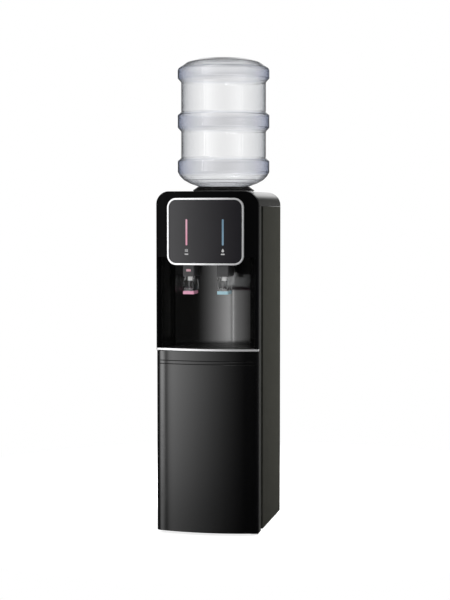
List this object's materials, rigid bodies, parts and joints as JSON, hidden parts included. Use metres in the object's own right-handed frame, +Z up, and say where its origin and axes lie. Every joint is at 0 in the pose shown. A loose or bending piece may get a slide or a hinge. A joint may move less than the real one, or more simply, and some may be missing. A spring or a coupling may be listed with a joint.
{
  "type": "bottled water cooler",
  "caption": "Free-standing hot and cold water cooler with an upturned bottle on top, a dispensing niche with lever taps and a storage cupboard with a bowed door.",
  "frame": {"origin": "On the floor, below the middle of the whole cooler's box", "axes": "+X to the right seen from the front, +Y from the front to the back, +Z up"},
  "size_m": [0.3, 0.4351, 1.391],
  "materials": {
    "cabinet_steel": "dark grey satin powder coat",
    "inner_steel": "light grey galvanised look",
    "gloss_black": "gloss black",
    "matte_black": "fine matte black",
    "niche_grey": "satin black",
    "store_white": "light grey moulded",
    "silver_trim": "bright silver",
    "screen_black": "high gloss black",
    "bar_red": "lit red light guide",
    "bar_blue": "lit blue light guide",
    "mark_white": "printed light grey",
    "board_green": "circuit board",
    "clear_plastic": "clear moulded plastic",
    "hot_pink": "translucent pink",
    "cold_blue": "translucent light blue",
    "tap_black": "satin black",
    "white_plastic": "white",
    "steel": "stainless",
    "magnet": "ferrite",
    "bottle_clear": "clear, faintly blue",
    "cap_blue": "soft blue",
    "seal_grey": "soft grey",
    "foam": "pale foam",
    "rubber_black": "matte black",
    "silicone": "milky silicone",
    "compressor_black": "black semi-gloss",
    "copper": "bare copper",
    "coil_black": "black enamel",
    "switch_red": "red",
    "switch_green": "green"
  },
  "bodies": {
    "cabinet": {"base_pan": "inner_steel", "rubber_feet": "rubber_black", "left_side_panel": "cabinet_steel", "right_side_panel": "cabinet_steel", "corner_trims": "matte_black", "rear_panel": "cabinet_steel", "rear_screws": "steel", "top_cover": "matte_black", "front_fascia": "gloss_black", "waist_trim": "silver_trim", "niche_liner": "niche_grey", "storage_liner": "store_white", "door_pivots": "steel", "catch_magnet": "magnet", "panel_housing": "matte_black", "panel_rim": "silver_trim", "panel_face": "screen_black", "hot_light_bar": "bar_red", "cold_light_bar": "bar_blue", "panel_marks": "mark_white", "control_board": "board_green", "hot_tap_housing": "tap_black", "cold_tap_housing": "tap_black", "tap_nozzles": "white_plastic", "lever_pins": "steel", "lever_springs": "steel", "bottle_seat": "gloss_black", "seat_gasket": "seal_grey", "feed_probe": "white_plastic", "cold_tank": "steel", "tank_insulation": "foam", "hot_tank": "steel", "heater_band": "steel", "tank_shelf": "inner_steel", "silicone_tubes": "silicone", "drain_tube": "silicone", "compressor": "compressor_black", "compressor_grommets": "rubber_black", "refrigerant_lines": "copper", "condenser_coil": "coil_black", "condenser_wires": "coil_black", "switch_plate": "matte_black", "cord_gland": "rubber_black"},
    "door": {"door_skin": "gloss_black", "door_liner": "store_white", "catch_plate": "steel"},
    "bottle": {"water_bottle": "bottle_clear", "bottle_cap": "cap_blue"},
    "tray": {"drip_tray": "niche_grey"},
    "grille": {"drip_grille": "matte_black"},
    "hot_cradle": {"hot_lever": "clear_plastic", "hot_lever_bar": "hot_pink"},
    "cold_cradle": {"cold_lever": "clear_plastic", "cold_lever_bar": "cold_blue"},
    "hot_valve": {"hot_plunger": "white_plastic"},
    "cold_valve": {"cold_plunger": "white_plastic"},
    "lock": {"hot_lock_button": "bar_red"},
    "hot_rocker": {"hot_switch": "switch_red"},
    "cold_rocker": {"cold_switch": "switch_green"},
    "cap": {"drain_cap": "white_plastic"}
  },
  "joints": [
    {"name": "door_hinge", "type": "hinge", "parent": "cabinet", "child": "door", "pos_m": [0.145, -0.17455, 0.27], "axis": [0, 0, 1], "range_deg": [0, 110]},
    {"name": "bottle_lift", "type": "slide", "parent": "cabinet", "child": "bottle", "axis": [0, 0, 1], "range_m": [0, 0.15]},
    {"name": "tray_lift", "type": "slide", "parent": "cabinet", "child": "tray", "axis": [0, 0, 1], "range_m": [0, 0.06]},
    {"name": "grille_lift", "type": "slide", "parent": "tray", "child": "grille", "axis": [0, 0, 1], "range_m": [0, 0.05]},
    {"name": "hot_lever_turn", "type": "hinge", "parent": "cabinet", "child": "hot_cradle", "pos_m": [-0.05, -0.18955, 0.757], "axis": [1, 0, 0], "range_deg": [0, 12], "stiffness_Nm_per_rad": 0.6, "springref_deg": -5.73},
    {"name": "cold_lever_turn", "type": "hinge", "parent": "cabinet", "child": "cold_cradle", "pos_m": [0.05, -0.18955, 0.757], "axis": [1, 0, 0], "range_deg": [0, 12], "stiffness_Nm_per_rad": 0.6, "springref_deg": -5.73},
    {"name": "hot_plunger_lift", "type": "slide", "parent": "cabinet", "child": "hot_valve", "axis": [0, 0, 1], "range_m": [0, 0.0033]},
    {"name": "cold_plunger_lift", "type": "slide", "parent": "cabinet", "child": "cold_valve", "axis": [0, 0, 1], "range_m": [0, 0.0033]},
    {"name": "hot_lock_press", "type": "slide", "parent": "cabinet", "child": "lock", "axis": [0, 1, 0], "range_m": [0, 0.002], "stiffness_N_per_m": 200, "springref_m": -0.002},
    {"name": "hot_switch_rock", "type": "hinge", "parent": "cabinet", "child": "hot_rocker", "pos_m": [-0.098, 0.19245, 0.902], "axis": [1, 0, 0], "range_deg": [0, 16]},
    {"name": "cold_switch_rock", "type": "hinge", "parent": "cabinet", "child": "cold_rocker", "pos_m": [-0.072, 0.19245, 0.902], "axis": [1, 0, 0], "range_deg": [0, 16]},
    {"name": "drain_cap_pull", "type": "slide", "parent": "cabinet", "child": "cap", "axis": [0, 1, 0], "range_m": [0, 0.03]}
  ],
  "couplings": [
    {"joint": "hot_plunger_lift", "follows": "hot_lever_turn", "m_per_rad": 0.0153},
    {"joint": "cold_plunger_lift", "follows": "cold_lever_turn", "m_per_rad": 0.0153}
  ]
}
